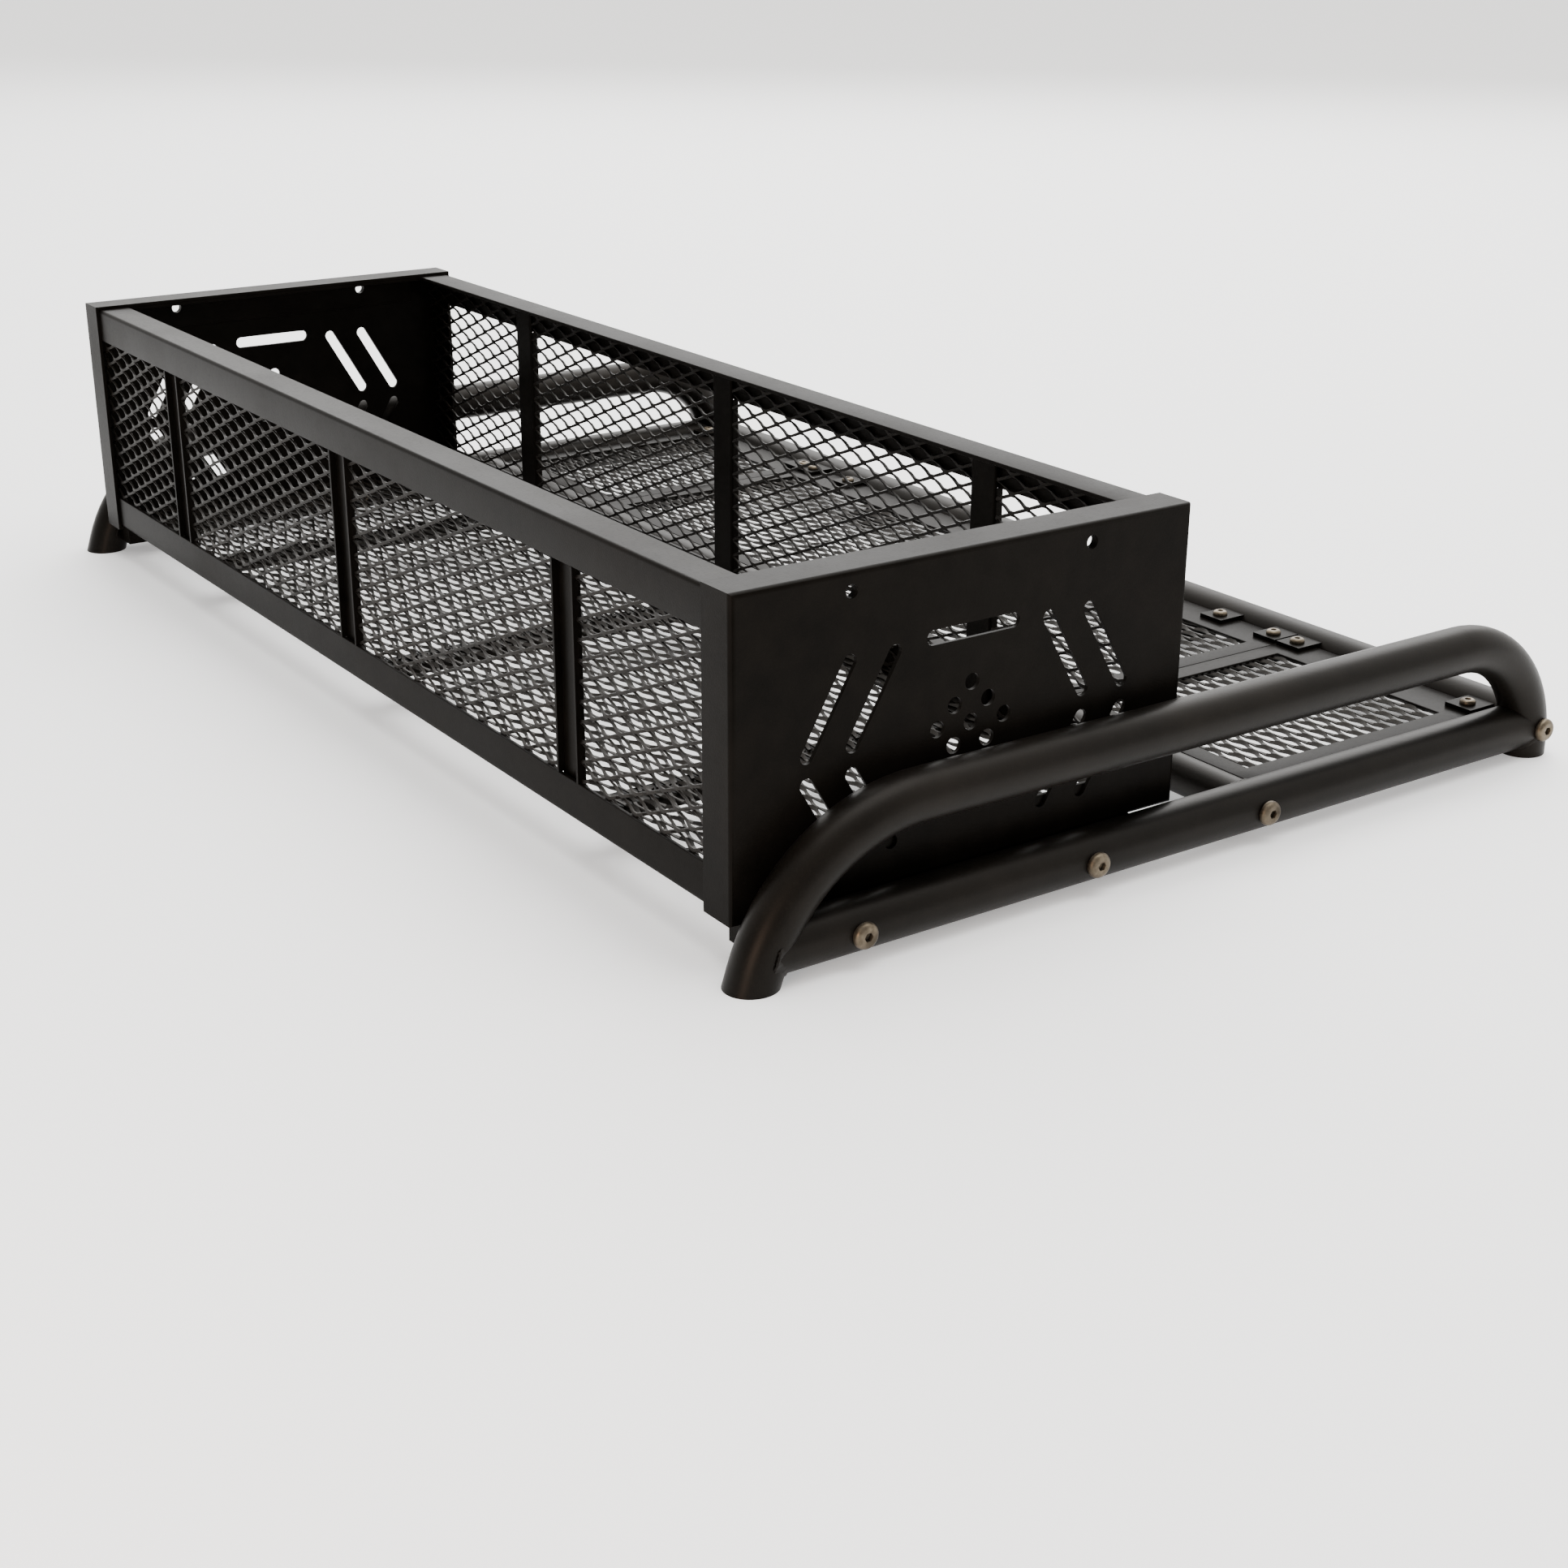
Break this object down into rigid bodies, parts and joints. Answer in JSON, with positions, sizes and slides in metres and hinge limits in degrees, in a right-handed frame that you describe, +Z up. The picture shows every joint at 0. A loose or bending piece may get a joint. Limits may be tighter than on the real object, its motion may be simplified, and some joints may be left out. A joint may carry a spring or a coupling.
{
  "type": "vehicle rear basket rack",
  "caption": "Tubular vehicle rack with a sheet-ended expanded-mesh basket behind a framed mesh deck, between two side hoops.",
  "frame": {"origin": "on the ground plane under the middle of the rack's overall box", "axes": "+X to the vehicle's right, along the basket's length; +Y forward, from the basket to the deck; +Z up"},
  "size_m": [1.0584, 0.669, 0.2179],
  "materials": {
    "black_powder_coat": "satin, fine-textured powder coat",
    "black_mesh": "satin powder coat over raised expanded metal",
    "bronze_zinc": "dull bronze-toned zinc plating",
    "bare_steel": "turned",
    "black_plastic": "moulded"
  },
  "bodies": {
    "root": {"centre_deck_frame": "black_powder_coat", "centre_deck_mesh": "black_mesh", "cross_tube_plugs": "bare_steel", "deck_bolts": "bronze_zinc", "deck_nuts": "bronze_zinc", "deck_tabs": "black_powder_coat", "floor_centre_rib": "black_powder_coat", "floor_left_rib": "black_powder_coat", "floor_mesh_1": "black_mesh", "floor_mesh_2": "black_mesh", "floor_mesh_3": "black_mesh", "floor_mesh_4": "black_mesh", "floor_right_rib": "black_powder_coat", "front_bottom_rail": "black_powder_coat", "front_centre_divider": "black_powder_coat", "front_cross_tube": "black_powder_coat", "front_left_divider": "black_powder_coat", "front_mesh_1": "black_mesh", "front_mesh_2": "black_mesh", "front_mesh_3": "black_mesh", "front_mesh_4": "black_mesh", "front_right_divider": "black_powder_coat", "front_top_rail": "black_powder_coat", "hoop_end_plugs": "black_plastic", "left_basket_blocks": "black_powder_coat", "left_deck_frame": "black_powder_coat", "left_deck_mesh": "black_mesh", "left_end_bottom_rail": "black_powder_coat", "left_end_plate": "black_powder_coat", "left_end_top_rail": "black_powder_coat", "left_lower_rail": "black_powder_coat", "left_side_hoop": "black_powder_coat", "middle_cross_tube": "black_powder_coat", "mount_tabs": "black_powder_coat", "rail_bolts": "bronze_zinc", "rear_bottom_rail": "black_powder_coat", "rear_centre_divider": "black_powder_coat", "rear_left_divider": "black_powder_coat", "rear_mesh_1": "black_mesh", "rear_mesh_2": "black_mesh", "rear_mesh_3": "black_mesh", "rear_mesh_4": "black_mesh", "rear_right_divider": "black_powder_coat", "rear_top_rail": "black_powder_coat", "right_basket_blocks": "black_powder_coat", "right_deck_frame": "black_powder_coat", "right_deck_mesh": "black_mesh", "right_end_bottom_rail": "black_powder_coat", "right_end_plate": "black_powder_coat", "right_end_top_rail": "black_powder_coat", "right_lower_rail": "black_powder_coat", "right_side_hoop": "black_powder_coat"}
  },
  "joints": []
}
